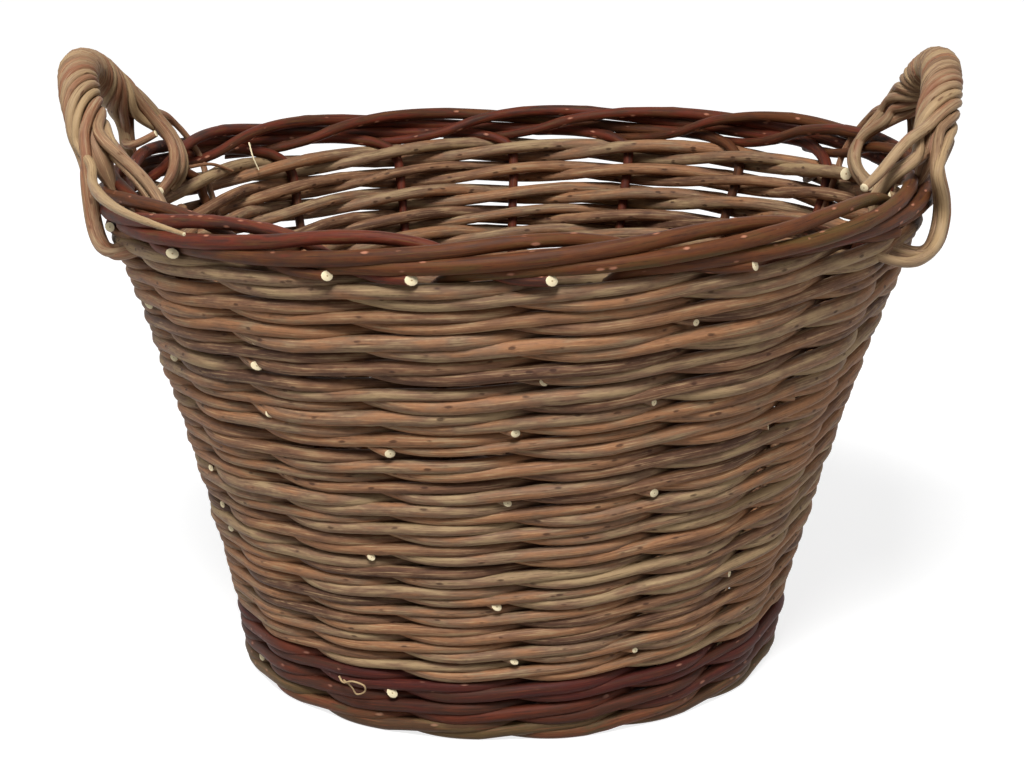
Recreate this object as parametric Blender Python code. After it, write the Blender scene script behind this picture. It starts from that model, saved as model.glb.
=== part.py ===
"""Round willow log basket, woven in three-rod wale on upright stakes, with two roped handles.

Every rod is its own object. The stakes are bent in under the base at the foot and laid down
into the border at the rim. Each course of the wall is one strand that runs three times round
the basket, over two stakes and behind one, and closes on itself.
Units are metres, +Z is up, and the handles stand on the X axis.
"""
import math

import bpy
import bmesh
from mathutils import Vector

# Counts
STAKES = 17
FOOT_COURSES = 3
WALL_COURSES = 18
RODS_IN_WALE = 3
WALL_KNOTS = 6
STICKS_EACH_WAY = 3
ROPE_RODS = 4
ROPE_TURNS = 3
ROPE_POINTS_IN_TURN = 6
ROD_SIDES = 4

# Basket body, to the middle of the stakes
foot_radius = 0.1585
rim_radius = 0.2405
wall_hollow = 0.0070
seat_gap = 0.0003

# Rods, measured across
stake_width = 0.0066
foot_rod = 0.0054
low_wall_rod = 0.0048
high_wall_rod = 0.0062
border_rod = 0.0080
weaver_rod = 0.0070
weaver_tip = 0.0036
slit_stick = 0.0105
plain_stick = 0.0062
bow_rod = 0.0070
bow_leg_rod = 0.0034
rope_rod = 0.0074
rope_tip = 0.0038

# Reaches and heights that stand by themselves
butt_length = 0.0300
slath_reach = 0.0200
first_weaver_radius = 0.0385
butt_bend_room = 0.0009
flat_cut = 0.0005
bow_leg_depth = 0.0700
handle_rise = 0.0520
handle_lean_out = 0.0270

# How far a rod is lifted above or below the middle of its course, as a share of its width
wale_lift_share = 0.66
# How far past a stake a rod still runs straight before it turns out again
straight_share = 0.40
# How far a laid-down stake dips between its root and the next stake, as a share of its lift
border_dip_share = 0.70
# Places along the wall, as shares of the way from one stake to the next
bow_leg_share = -0.09
# How far nearer the front a handle's back foot rises than its leg, and how much of the arch bends for it
back_foot_share = 0.45
splay_share = 0.17
# Where round the bow the first rope rod starts, as a share of the way to the next one
rope_start_share = 0.30
border_end_share = 0.12
# The rope's tails at a foot of the handle: outside or inside the border, left or right of the stake
tail_share = {(1, -1): -0.24, (-1, -1): -0.36, (1, 1): 0.22, (-1, 1): 0.34}

spacing = 2.0 * math.pi / STAKES
half_stake = stake_width / 2.0
spokes = 4 * STICKS_EACH_WAY
spoke_spacing = 2.0 * math.pi / spokes


def corner_room(rod, radius):
    """How far a rod that turns in sharply stands off a flat-faced stake, to clear its corners."""
    between_stakes = 2.0 * radius * math.sin(spacing / 2.0)
    inward_slope = math.tan(spacing / 2.0) + 2.0 * (stake_width + rod) / between_stakes
    return half_stake * inward_slope


def lift_of(rod):
    """Height of a rod's outer crossings above the middle of its course."""
    return wale_lift_share * rod + seat_gap


def pitch_of(rod):
    """Height that one course of this rod takes on the wall."""
    return 2.0 * lift_of(rod) + rod + seat_gap


def course_table():
    """Rod width and height above the floor of each course, from the floor up."""
    rods = [foot_rod] * FOOT_COURSES
    for course in range(WALL_COURSES):
        share = course / (WALL_COURSES - 1)
        rods.append(low_wall_rod + (high_wall_rod - low_wall_rod) * share)
    heights = [lift_of(foot_rod) + foot_rod / 2.0 - flat_cut]
    for below, above in zip(rods, rods[1:]):
        heights.append(heights[-1] + (pitch_of(below) + pitch_of(above)) / 2.0)
    return list(zip(rods, heights))


courses = course_table()
top_rod, top_height = courses[-1]
tuck_height = rope_tip + 2.0 * seat_gap
wall_top = top_height + lift_of(top_rod) + top_rod / 2.0
border_lift = (border_rod + seat_gap) / 2.0
border_height = wall_top + tuck_height + border_lift + border_rod / 2.0
border_out = half_stake + corner_room(border_rod, rim_radius) + border_rod / 2.0 + seat_gap
border_hump = 2.0 * border_lift + border_rod / 2.0


def knot_radius(share):
    """Radius of the stake circle at a share of the border's height."""
    straight = foot_radius + (rim_radius - foot_radius) * share
    return straight - 4.0 * wall_hollow * share * (1.0 - share)


knot_heights = [border_height * knot / WALL_KNOTS for knot in range(WALL_KNOTS + 1)]
knot_radii = [knot_radius(knot / WALL_KNOTS) for knot in range(WALL_KNOTS + 1)]


def stake_place(height):
    """Radius and lean of the stakes at a height, along the stakes' own straight stretches."""
    index = 0
    while index < WALL_KNOTS - 1 and height > knot_heights[index + 1]:
        index += 1
    rise = knot_heights[index + 1] - knot_heights[index]
    run = knot_radii[index + 1] - knot_radii[index]
    radius = knot_radii[index] + run * (height - knot_heights[index]) / rise
    return radius, math.atan2(run, rise)


def round_point(radius, step, height):
    """A point at a radius, with its place round the basket counted in stakes from the back."""
    angle = math.pi / 2.0 + step * spacing
    return Vector((radius * math.cos(angle), radius * math.sin(angle), height))


def wall_point(step, out, up, height):
    """A point by the wall, out from the stakes and up along them, straight from stake to stake.

    The height is that of a rod lying against the outside of the stakes.
    """
    radius, lean = stake_place(height)
    radius += out * math.cos(lean) + up * math.sin(lean)
    level = height + (stake_width - out) * math.sin(lean) + up * math.cos(lean)
    stake = math.floor(step)
    return round_point(radius, stake, level).lerp(round_point(radius, stake + 1, level), step - stake)


def level_point(step, out, level):
    """A point out from the stakes at a true height above the floor."""
    lean = stake_place(level)[1]
    return wall_point(step, out, 0.0, level - (stake_width - out) * math.sin(lean))


def unit(vector):
    return vector.normalized()


def transported(directions, first_side):
    """Side vectors that turn as little as they can from each direction to the next."""
    sides = [unit(first_side - directions[0] * first_side.dot(directions[0]))]
    for direction in directions[1:]:
        sides.append(unit(sides[-1] - direction * sides[-1].dot(direction)))
    return sides


def directions_along(points, closed):
    """The direction of the rod at each of its points."""
    last = len(points) - 1
    found = []
    for index, point in enumerate(points):
        before = points[index - 1] if index > 0 or closed else point
        after = points[(index + 1) % len(points)] if index < last or closed else point
        back = unit(point - before) if before != point else Vector()
        ahead = unit(after - point) if after != point else Vector()
        found.append(unit(back + ahead))
    return found


def sweep(points, sections, sides, closed=False):
    """A tube through the points, as a bmesh. A section is its width across corners and its turn."""
    directions = directions_along(points, closed)
    mesh = bmesh.new()
    rings = []
    for point, (width, turn), direction, side in zip(points, sections, directions, sides):
        across = unit(side - direction * side.dot(direction))
        over = direction.cross(across)
        ring = []
        for corner in range(ROD_SIDES):
            angle = 2.0 * math.pi * (corner + turn) / ROD_SIDES
            offset = across * math.cos(angle) + over * math.sin(angle)
            ring.append(mesh.verts.new(point + offset * width / 2.0))
        rings.append(ring)
    pairs = list(zip(rings, rings[1:]))
    if closed:
        pairs.append((rings[-1], rings[0]))
    for ring, following in pairs:
        for corner in range(ROD_SIDES):
            turned = (corner + 1) % ROD_SIDES
            mesh.faces.new((ring[corner], ring[turned], following[turned], following[corner]))
    if not closed:
        mesh.faces.new(list(reversed(rings[0])))
        mesh.faces.new(rings[-1])
    return mesh


def flat_section(flat):
    """The section of a rod that lies on its flats and measures this much across them."""
    return flat * math.sqrt(2.0), 0.5


def edge_section(width):
    """The section of a rod with one corner up, which measures this much across its corners."""
    return width, 0.0


def willow(name, colour, roughness):
    """A Principled material for one colour of bark."""
    material = bpy.data.materials.new(name)
    material.use_nodes = True
    shader = material.node_tree.nodes["Principled BSDF"]
    shader.inputs["Base Color"].default_value = (*colour, 1.0)
    shader.inputs["Roughness"].default_value = roughness
    shader.inputs["Metallic"].default_value = 0.0
    return material


def add_object(name, mesh, material, carrier):
    """Turn a bmesh into a named object with its material, smooth along its length."""
    data = bpy.data.meshes.new(name)
    bmesh.ops.recalc_face_normals(mesh, faces=mesh.faces)
    mesh.to_mesh(data)
    mesh.free()
    data.shade_smooth()
    data.set_sharp_from_angle(angle=math.radians(80.0))
    data.materials.append(material)
    thing = bpy.data.objects.new(name, data)
    bpy.context.collection.objects.link(thing)
    thing.parent = carrier
    return thing


def wale_points(rod, height, over_butts):
    """The path of one wale strand: in front of two stakes, straight behind one, and out again.

    The lowest course passes over the stakes' butts, so there it has one more point at each.
    """
    lift = lift_of(rod)
    inside = half_stake + rod / 2.0 + seat_gap
    outside = inside + corner_room(rod, stake_place(height)[0])
    points = []
    for turn in range(STAKES):
        stake = RODS_IN_WALE * turn
        before = wall_point(stake - 1, outside, lift, height)
        level = before.z - 2.0 * lift / (1.0 + straight_share)
        if over_butts:
            level = stake_width + butt_bend_room + rod / 2.0
        behind = level_point(stake, -inside, level)
        emerging = behind + (behind - before) * straight_share
        emerging.z = before.z - 2.0 * lift
        if over_butts:
            points.append(behind)
        points.append(emerging)
        points.append(wall_point(stake + 1, outside, -lift, height))
        points.append(wall_point(stake + 2, outside, lift, height))
    return points


def cut_flat(mesh):
    """Cut a mesh off flat at the floor and close the cut."""
    geometry = list(mesh.verts) + list(mesh.edges) + list(mesh.faces)
    bmesh.ops.bisect_plane(
        mesh, geom=geometry, plane_co=(0.0, 0.0, 0.0), plane_no=(0.0, 0.0, 1.0), clear_inner=True)
    open_edges = [edge for edge in mesh.edges if edge.is_boundary]
    bmesh.ops.holes_fill(mesh, edges=open_edges, sides=0)


def add_courses(foot_bark, wall_bark, carrier):
    """All courses of waling, numbered from the floor. The lowest is cut flat where it stands."""
    up = Vector((0.0, 0.0, 1.0))
    for number, (rod, height) in enumerate(courses, start=1):
        lowest = number == 1
        points = wale_points(rod, height, lowest)
        mesh = sweep(points, [edge_section(rod)] * len(points), [up] * len(points), closed=True)
        if lowest:
            cut_flat(mesh)
        if number <= FOOT_COURSES:
            add_object(f"foot_course_{number:02d}", mesh, foot_bark, carrier)
        else:
            add_object(f"wall_course_{number - FOOT_COURSES:02d}", mesh, wall_bark, carrier)


def stake_points(stake):
    """One stake, from its butt under the base up to the rim."""
    foot = stake_place(0.0)[0]
    points = [
        round_point(foot - butt_length, stake, half_stake),
        round_point(foot - butt_length / 2.0, stake, half_stake),
        round_point(foot - half_stake, stake, half_stake),
        wall_point(stake, 0.0, 0.0, stake_width),
    ]
    points += [wall_point(stake, 0.0, 0.0, height) for height in knot_heights[1:-1]]
    points.append(wall_point(stake, 0.0, -border_lift - half_stake, border_height))
    return points


def border_points(stake):
    """The same stake laid down: inside the next one, over the rim, and outside two more."""
    bend_share = stake_width / (rim_radius * spacing)
    return [
        wall_point(stake + bend_share, 0.0, -border_lift, border_height),
        wall_point(stake + 0.5, -border_out / 2.0, -border_dip_share * border_lift, border_height),
        wall_point(stake + 1, -border_out, 0.0, border_height),
        wall_point(stake + 1.5, 0.0, 2.0 * border_lift, border_height),
        wall_point(stake + 2, border_out, border_lift, border_height),
        wall_point(stake + 3, border_out, -border_lift, border_height),
        wall_point(stake + 3 + border_end_share, border_out,
                   -border_lift * (1.0 + 2.0 * border_end_share), border_height),
    ]


def add_stakes(bark, carrier):
    """The stakes, numbered round from the back, each with its own part of the border."""
    for stake in range(STAKES):
        upright = stake_points(stake)
        laid = border_points(stake)
        points = upright + laid
        around = round_point(1.0, stake, 0.0).cross(Vector((0.0, 0.0, 1.0)))
        sides = transported(directions_along(points, False), around)
        sections = [flat_section(stake_width)] * len(upright) + [edge_section(border_rod)] * len(laid)
        add_object(f"stake_{stake + 1:02d}", sweep(points, sections, sides), bark, carrier)


# The base lies on the stakes' butts: its weavers pass under and over the sticks
stick_height = stake_width + 2.0 * seat_gap + weaver_rod + plain_stick / 2.0
weaver_step = (weaver_rod + seat_gap) / math.cos(spoke_spacing / 2.0)
weaver_swing = (plain_stick + weaver_rod) / 2.0 + seat_gap
base_radius = stake_place(stick_height)[0] - half_stake - 2.0 * foot_rod


def stick_knee(spoke):
    """Where a base stick leaves the slath, and the direction of its free end."""
    group, place = divmod(spoke, STICKS_EACH_WAY)
    width = slit_stick if group % 2 == 0 else plain_stick
    offset = (place - (STICKS_EACH_WAY - 1) / 2.0) * (width + seat_gap)
    middle = group * math.pi / 2.0
    ahead = Vector((math.cos(middle), math.sin(middle), 0.0))
    across = Vector((-ahead.y, ahead.x, 0.0))
    knee = ahead * slath_reach + across * offset
    angle = middle + (place - (STICKS_EACH_WAY - 1) / 2.0) * spoke_spacing
    tip = Vector((math.cos(angle), math.sin(angle), 0.0)) * base_radius
    return knee, unit(tip - knee)


def spoke_point(spoke, radius, up):
    """The point of a base stick at a radius, raised above the middle of the base."""
    knee, direction = stick_knee(spoke % spokes)
    along = -knee.dot(direction) + math.sqrt(knee.dot(direction) ** 2 - knee.length_squared + radius ** 2)
    return knee + direction * along + Vector((0.0, 0.0, stick_height + up))


def add_base_sticks(bark, carrier):
    """Three slit sticks with three plain ones pushed through them, spread into a star."""
    slot_width = STICKS_EACH_WAY * (plain_stick + seat_gap) + seat_gap
    up = Vector((0.0, 0.0, 1.0))
    level = up * stick_height
    for spoke in range(2 * STICKS_EACH_WAY):
        slit = spoke < STICKS_EACH_WAY
        near, _ = stick_knee(spoke)
        partner = (2 + spoke // STICKS_EACH_WAY) * STICKS_EACH_WAY
        partner += STICKS_EACH_WAY - 1 - spoke % STICKS_EACH_WAY
        far, _ = stick_knee(partner)
        pared = first_weaver_radius - weaver_rod
        points = [spoke_point(spoke, base_radius, 0.0), spoke_point(spoke, pared, 0.0), near + level,
                  far + level, spoke_point(partner, pared, 0.0), spoke_point(partner, base_radius, 0.0)]
        free = edge_section(plain_stick)
        middle = flat_section(slit_stick) if slit else free
        sections = [free, free, middle, middle, free, free]
        name = f"base_slit_stick_{spoke + 1}" if slit else f"base_stick_{spoke + 1 - STICKS_EACH_WAY}"
        stick = add_object(name, sweep(points, sections, [up] * len(points)), bark, carrier)
        if slit:
            cutter = slot_cutter(f"slot_{spoke + 1}", slot_width, near.y, carrier)
            slot = stick.modifiers.new("slot", "BOOLEAN")
            slot.operation = "DIFFERENCE"
            slot.solver = "EXACT"
            slot.object = cutter


def slot_cutter(name, width, across, carrier):
    """A block the size of a slit, wide enough for the plain sticks to lie in side by side."""
    mesh = bmesh.new()
    bmesh.ops.create_cube(mesh, size=1.0)
    data = bpy.data.meshes.new(name)
    mesh.to_mesh(data)
    mesh.free()
    cutter = bpy.data.objects.new(name, data)
    bpy.context.collection.objects.link(cutter)
    cutter.scale = (width, 2.0 * slit_stick, plain_stick + 2.0 * seat_gap)
    cutter.location = (0.0, across, stick_height)
    cutter.parent = carrier
    cutter.hide_render = True
    cutter.display_type = "WIRE"
    return cutter


def add_base_weavers(bark, carrier):
    """Two rods chase each other outwards round the sticks, one over where the other is under."""
    growth = 2.0 * weaver_step
    last_radius = base_radius - weaver_rod / 2.0
    up = Vector((0.0, 0.0, 1.0))
    for rod in range(2):
        start = first_weaver_radius + rod * weaver_step
        steps = int((last_radius - start) / growth * spokes)
        points = []
        for step in range(steps + 1):
            side = 1.0 if (step + rod) % 2 == 0 else -1.0
            points.append(spoke_point(step, start + growth * step / spokes, side * weaver_swing))
        tip = [edge_section(weaver_tip)]
        sections = tip + [edge_section(weaver_rod)] * (len(points) - 2) + tip
        mesh = sweep(points, sections, [up] * len(points))
        add_object(f"base_weaver_{rod + 1}", mesh, bark, carrier)


def handle_frame(centre):
    """The middle, half span, rise and side direction of a handle's arch, and the splay of its feet."""
    top = border_hump + rope_tip
    steps = (centre - 1 + bow_leg_share, centre + 1 + bow_leg_share)
    left = centre < STAKES / 2.0
    insets = (back_foot_share, 0.0) if left else (0.0, -back_foot_share)
    legs = [wall_point(step, 0.0, top, border_height) for step in steps]
    feet = [wall_point(step + inset, 0.0, top, border_height) for step, inset in zip(steps, insets)]
    middle = (feet[0] + feet[1]) / 2.0
    outward = unit(Vector((middle.x, middle.y, 0.0)))
    rise = outward * handle_lean_out + Vector((0.0, 0.0, handle_rise))
    half_span = (feet[1] - feet[0]) / 2.0
    return middle, half_span, rise, unit(rise.cross(half_span)), legs[0] - feet[0], legs[1] - feet[1]


def arch_point(frame, share):
    """A point of the arch, half an ellipse whose feet bend out to the legs."""
    middle, half_span, rise, _, first_splay, last_splay = frame
    point = middle - half_span * math.cos(math.pi * share) + rise * math.sin(math.pi * share)
    point += first_splay * max(0.0, 1.0 - share / splay_share) ** 2
    point += last_splay * max(0.0, 1.0 - (1.0 - share) / splay_share) ** 2
    return point


def arch_direction(frame, share):
    either_side = splay_share / ROPE_POINTS_IN_TURN
    return unit(arch_point(frame, share + either_side) - arch_point(frame, share - either_side))


def add_bow(name, centre, frame, bark, carrier):
    """The bow of a handle, with its thin legs pushed down into the wall beside two stakes."""
    knots = ROPE_TURNS * ROPE_POINTS_IN_TURN
    arch = [arch_point(frame, knot / knots) for knot in range(knots + 1)]
    first = centre - 1 + bow_leg_share
    second = centre + 1 + bow_leg_share
    tip = border_height - bow_leg_depth
    depths = [tip] + [height for height in knot_heights if tip + bow_rod < height < border_height - bow_rod]
    legs = [[wall_point(step, -seat_gap, 0.0, height) for height in depths] for step in (first, second)]
    points = legs[0] + arch + list(reversed(legs[1]))
    thin = edge_section(bow_leg_rod)
    sections = [thin] * (len(depths) + 1) + [edge_section(bow_rod)] * (len(arch) - 2)
    sections += [thin] * (len(depths) + 1)
    sides = transported(directions_along(points, False), frame[3])
    add_object(name, sweep(points, sections, sides), bark, carrier)


def tail_points(stake, side, turn):
    """A rope rod's tail beside a stake: down one side of the border and in under it."""
    step = stake + tail_share[(side, turn)]
    reach = side * (border_out + (border_rod + rope_tip) / 2.0 + 3.0 * seat_gap)
    under = -border_lift - (border_rod + rope_tip) / 2.0 - seat_gap
    bend = side * rope_tip / 2.0
    return [
        wall_point(step, reach, border_lift + rope_rod + rope_tip / 2.0, border_height),
        wall_point(step, reach, -border_lift, border_height),
        wall_point(step, reach - bend, under, border_height),
        wall_point(step, 0.0, under, border_height),
    ]


def add_rope(prefix, centre, frame, bark, carrier):
    """The rods that are roped round the bow, each from a tail at one foot to a tail at the other."""
    knots = ROPE_TURNS * ROPE_POINTS_IN_TURN
    radius = ((bow_rod + rope_rod) / 2.0 + seat_gap) / math.cos(math.pi / ROPE_POINTS_IN_TURN)
    for rod in range(ROPE_RODS):
        start = 2.0 * math.pi * (rod + rope_start_share) / ROPE_RODS
        wound = []
        for knot in range(knots + 1):
            share = knot / knots
            angle = start + 2.0 * math.pi * knot / ROPE_POINTS_IN_TURN
            across = frame[3]
            over = arch_direction(frame, share).cross(across)
            offset = across * math.cos(angle) + over * math.sin(angle)
            wound.append(arch_point(frame, share) + offset * radius)
        side = -1 if math.cos(start) > 0.0 else 1
        turn = -1 if math.sin(start) > 0.0 else 1
        first = tail_points(centre - 1, side, turn)
        last = tail_points(centre + 1, side, -turn)
        points = list(reversed(first)) + wound + last
        thin = edge_section(rope_tip)
        sections = [thin] * (len(first) + 1) + [edge_section(rope_rod)] * (len(wound) - 2)
        sections += [thin] * (len(last) + 1)
        sides = transported(directions_along(points, False), frame[3])
        add_object(f"{prefix}_rope_{rod + 1}", sweep(points, sections, sides), bark, carrier)


def add_handles(bark, carrier):
    """A handle each side, over the stake a quarter of the way round from the back."""
    quarter = STAKES // 4
    for name, centre in (("left_handle", quarter), ("right_handle", STAKES - quarter)):
        frame = handle_frame(centre)
        add_bow(f"{name}_bow", centre, frame, bark, carrier)
        add_rope(name, centre, frame, bark, carrier)


def centre_over_floor(carrier):
    """Move the whole basket so that the middle of its box stands over the origin."""
    places = [vertex.co for thing in carrier.children for vertex in thing.data.vertices
              if not thing.hide_render]
    for axis in range(2):
        along = [place[axis] for place in places]
        carrier.location[axis] = -(min(along) + max(along)) / 2.0


def clear_scene():
    for thing in list(bpy.data.objects):
        bpy.data.objects.remove(thing, do_unlink=True)


def build():
    clear_scene()
    carrier = bpy.data.objects.new("basket", None)
    bpy.context.collection.objects.link(carrier)
    brown = willow("brown_willow", (0.235, 0.150, 0.088), 0.62)
    dark_red = willow("dark_red_willow", (0.105, 0.035, 0.026), 0.55)
    russet = willow("russet_willow", (0.150, 0.060, 0.036), 0.58)
    tan = willow("tan_willow", (0.300, 0.205, 0.120), 0.60)
    add_courses(dark_red, brown, carrier)
    add_stakes(russet, carrier)
    add_base_sticks(brown, carrier)
    add_base_weavers(brown, carrier)
    add_handles(tan, carrier)
    centre_over_floor(carrier)


build()
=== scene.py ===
"""A round willow log basket: waled wall, border of laid-down stakes, star base, two roped handles.

Lengths are in metres. Places round the wall are counted in stakes, from the back by the left.
"""
import math
import random

import bpy
import numpy as np
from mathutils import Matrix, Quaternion, Vector


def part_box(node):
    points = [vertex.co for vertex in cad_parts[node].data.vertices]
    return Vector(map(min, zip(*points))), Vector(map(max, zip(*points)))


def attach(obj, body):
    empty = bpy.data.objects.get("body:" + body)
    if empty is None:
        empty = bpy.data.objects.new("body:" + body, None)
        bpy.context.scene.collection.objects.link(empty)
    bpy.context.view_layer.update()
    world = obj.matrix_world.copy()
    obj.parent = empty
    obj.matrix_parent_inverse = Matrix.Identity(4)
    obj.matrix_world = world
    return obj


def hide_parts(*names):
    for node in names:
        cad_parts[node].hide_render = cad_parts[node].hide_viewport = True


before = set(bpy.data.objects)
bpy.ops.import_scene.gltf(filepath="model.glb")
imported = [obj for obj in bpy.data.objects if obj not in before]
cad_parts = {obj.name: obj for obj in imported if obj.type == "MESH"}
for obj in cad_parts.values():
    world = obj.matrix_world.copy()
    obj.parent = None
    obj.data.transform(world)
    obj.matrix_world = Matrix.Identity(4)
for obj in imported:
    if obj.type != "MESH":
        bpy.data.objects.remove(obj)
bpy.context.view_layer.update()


# The upright stakes: seventeen straight willow rods in their dark brown bark. Their butts are
# pushed in under the base and they stand up between the weavers. At the rim they are bent over one
# after the other, outside the next two, over the top, down inside the third and out under the border.
STAKES = 17
STAKE_STEP = 2.0 * math.pi / STAKES
foot_radius = 0.1585
rim_radius = 0.2405
wall_hollow = 0.0070  # how far the wall bows in, half-way up
rim_height = 0.2979
hand_lean = 0.0075  # how far the rim stands to one side of the foot
lean_middle = 0.55  # the share of the height at which that lean is nil
stake_thick = 0.0064
stake_drift = 0.02
stake_variety = (0.94, 1.06)
butt_reach = 0.0300
butt_bend = 0.0040
upright_from = 0.0130
straight_from = 0.04
straight_below_rim = 0.0260
border_thick = 0.0084
border_gap = 0.0004
border_wobble = 0.0010
border_reach = (4.15, 4.55)
border_from, border_swell = 0.38, 6.0
tip_from, tip_thinner = 0.72, 0.30
border_ends = {3: 7.43, 4: 7.92, 5: 8.68, 6: 9.87}  # the cut ends that the front shows, by stake
lay_length = 4.4
lay_bent = 2.0  # the lay is stretched from here on, to end where the rod is cut
lay_rest = 2.4
border_lay = [  # how many stakes on, how far out in seats beside the stakes, how far above the rim
    (0.03, 0.00, -0.0190), (0.14, 0.15, -0.0128), (0.45, 0.78, -0.0072), (1.00, 1.02, -0.0044),
    (1.55, 0.98, -0.0006), (2.10, 0.60, 0.0032), (2.60, -0.08, 0.0052), (3.05, -0.72, 0.0032),
    (3.42, -0.96, -0.0018), (3.75, -0.42, -0.0088), (4.10, 0.80, -0.0108), (4.40, 1.46, -0.0094)]
border_lift = 0.0038
lifted_at = (2.7, 14.2)  # the border humps up at the back foot of each handle

top_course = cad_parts["wall_course_18"].data
heart = np.mean([corner.co[:] for corner in top_course.vertices], axis=0)[:2]


def place(step, out, height):
    """Points by the wall: how many stakes round, how far out from the stakes, how high."""
    share = np.asarray(height, float) / rim_height
    straight = foot_radius + (rim_radius - foot_radius) * share
    radius = straight - 4.0 * wall_hollow * share * (1.0 - share)
    slope = ((rim_radius - foot_radius) - 4.0 * wall_hollow * (1.0 - 2.0 * share)) / rim_height
    square = 1.0 / np.sqrt(1.0 + slope * slope)
    radius = radius + out * square
    level = height - out * slope * square
    angle = math.pi / 2.0 + np.asarray(step, float) * STAKE_STEP
    across = heart[0] + radius * np.cos(angle) + hand_lean * (share - lean_middle)
    return np.stack([across, heart[1] + radius * np.sin(angle), level + 0.0 * angle], axis=-1)


def facing_out(step, raised):
    """The way that a cut faces where it looks out of the wall and a little up."""
    angle = math.pi / 2.0 + step * STAKE_STEP
    way = np.array([math.cos(angle), math.sin(angle), raised])
    return way / np.linalg.norm(way)


def supple(points, spacing=0.0045):
    """The smooth line that a springy rod takes through the points."""
    points = [np.asarray(point, float) for point in points]
    points = [2.0 * points[0] - points[1]] + points + [2.0 * points[-1] - points[-2]]
    line = []
    for before, start, end, after in zip(points, points[1:], points[2:], points[3:]):
        pieces = max(2, int(np.linalg.norm(end - start) / spacing))
        gaps = [max(1e-6, np.linalg.norm(b - a)) ** 0.5 for a, b in
                ((before, start), (start, end), (end, after))]
        knots = np.cumsum([0.0] + gaps)
        t = np.linspace(knots[1], knots[2], pieces, endpoint=False)[:, None]
        a1 = (knots[1] - t) / gaps[0] * before + t / gaps[0] * start
        a2 = (knots[2] - t) / gaps[1] * start + (t - knots[1]) / gaps[1] * end
        a3 = (knots[3] - t) / gaps[2] * end + (t - knots[2]) / gaps[2] * after
        late = knots[3] - knots[1]
        b1 = (knots[2] - t) / knots[2] * a1 + t / knots[2] * a2
        b2 = (knots[3] - t) / late * a2 + (t - knots[1]) / late * a3
        line.append((knots[2] - t) / gaps[1] * b1 + (t - knots[1]) / gaps[1] * b2)
    line.append(points[-2][None])
    return np.concatenate(line)


def wander(along, dice, reach, pace):
    """A small slow drift to either side, as in anything bent by hand."""
    total = np.zeros(len(along))
    for part in range(1, 4):
        total += np.sin(along * pace * part + dice.uniform(0.0, 2.0 * math.pi)) / part
    return total * reach / 1.5


bud_length = 0.0045
bud_swelling = (0.03, 0.10)
between_buds = (0.028, 0.085)


def length_along(line):
    """How far along the rod each of its points is."""
    return np.concatenate([[0.0], np.cumsum(np.linalg.norm(np.diff(line, axis=0), axis=1))])


def knuckled(line, thick, dice):
    """The thickness of a rod that swells a little at each bud."""
    along = length_along(line)
    swelling = np.zeros(len(line))
    bud = dice.uniform(0.0, 0.06)
    while bud < along[-1]:
        swelling += dice.uniform(*bud_swelling) * np.exp(-((along - bud) / bud_length) ** 2)
        bud += dice.uniform(*between_buds)
    return thick * (1.0 + swelling)


# A cut end has a rounded edge, a face and a pith: how far each stands out, how wide it is, and how
# bare the wood is, from 0 for bark over 1 for wood to 2 for pith.
tip_reaches = (0.00015, 0.00030, 0.00038)
tip_widths = (0.93, 0.35, 0.03)
tip_bareness = (1.0, 1.0, 2.0)


def rod(line, thick, mark, first_cut=None, last_cut=None):
    """One rod: its line, its thickness, its own mark for colour, and a clean cut at each end.

    A slanting cut is given as the way that it faces and how steep it is; None is a square one.
    """
    thick = np.broadcast_to(np.asarray(thick, float), (len(line),)).copy()
    along = length_along(line)
    fresh = np.zeros(len(line))
    slant = np.zeros((len(line), 3))
    for last, cut in ((False, first_cut), (True, last_cut)):
        if last:
            line, thick, fresh, slant, along = (
                part[::-1] for part in (line, thick, fresh, slant, along))
        ahead = line[0] - line[2]
        ahead /= np.linalg.norm(ahead)
        if cut:
            way = cut[0] - ahead * np.dot(cut[0], ahead)
            way *= cut[1] / np.linalg.norm(way) * (-1.0 if last else 1.0)
            from_end = np.abs(along - along[0])
            fade = np.clip(1.0 - from_end / (0.8 * thick[0] * cut[1]), 0.0, 1.0)
            slant = slant + way * fade[:, None]
        tips = [line[0] + ahead * reach for reach in tip_reaches[::-1]]
        outward = 1.0 if last else -1.0
        along = np.concatenate([[along[0] + outward * reach for reach in tip_reaches[::-1]], along])
        line = np.vstack([tips, line])
        fresh = np.concatenate([tip_bareness[::-1], fresh])
        slant = np.vstack([[slant[0]] * len(tips), slant])
        thick = np.concatenate([[thick[0] * width for width in tip_widths[::-1]], thick])
        if last:
            line, thick, fresh, slant, along = (
                part[::-1] for part in (line, thick, fresh, slant, along))
    return {"line": line, "thick": thick, "fresh": fresh, "along": along, "slant": slant,
            "mark": mark}


class Bench:
    """A place to lay out nodes: each is named by its type, then its settings, then what goes in."""

    def __init__(self, tree):
        self.tree = tree

    def node(self, kind, settings=None, **going_in):
        made = self.tree.nodes.new(kind)
        for name, value in (settings or {}).items():
            if name == "stops":
                band = made.color_ramp
                while len(band.elements) < len(value):
                    band.elements.new(0.5)
                for stop, (where, tone) in zip(band.elements, value):
                    stop.position = where
                    stop.color = (*tone, 1.0)
            else:
                setattr(made, name, value)
        for name, value in going_in.items():
            key = name.replace("_", " ").strip()
            numbered = key[0] == "n" and key[1:].isdigit()
            socket = made.inputs[int(key[1:]) if numbered else key]
            if isinstance(value, Reading):
                value = value.socket
            if isinstance(value, bpy.types.NodeSocket):
                self.tree.links.new(value, socket)
            else:
                socket.default_value = value
        return made


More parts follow.
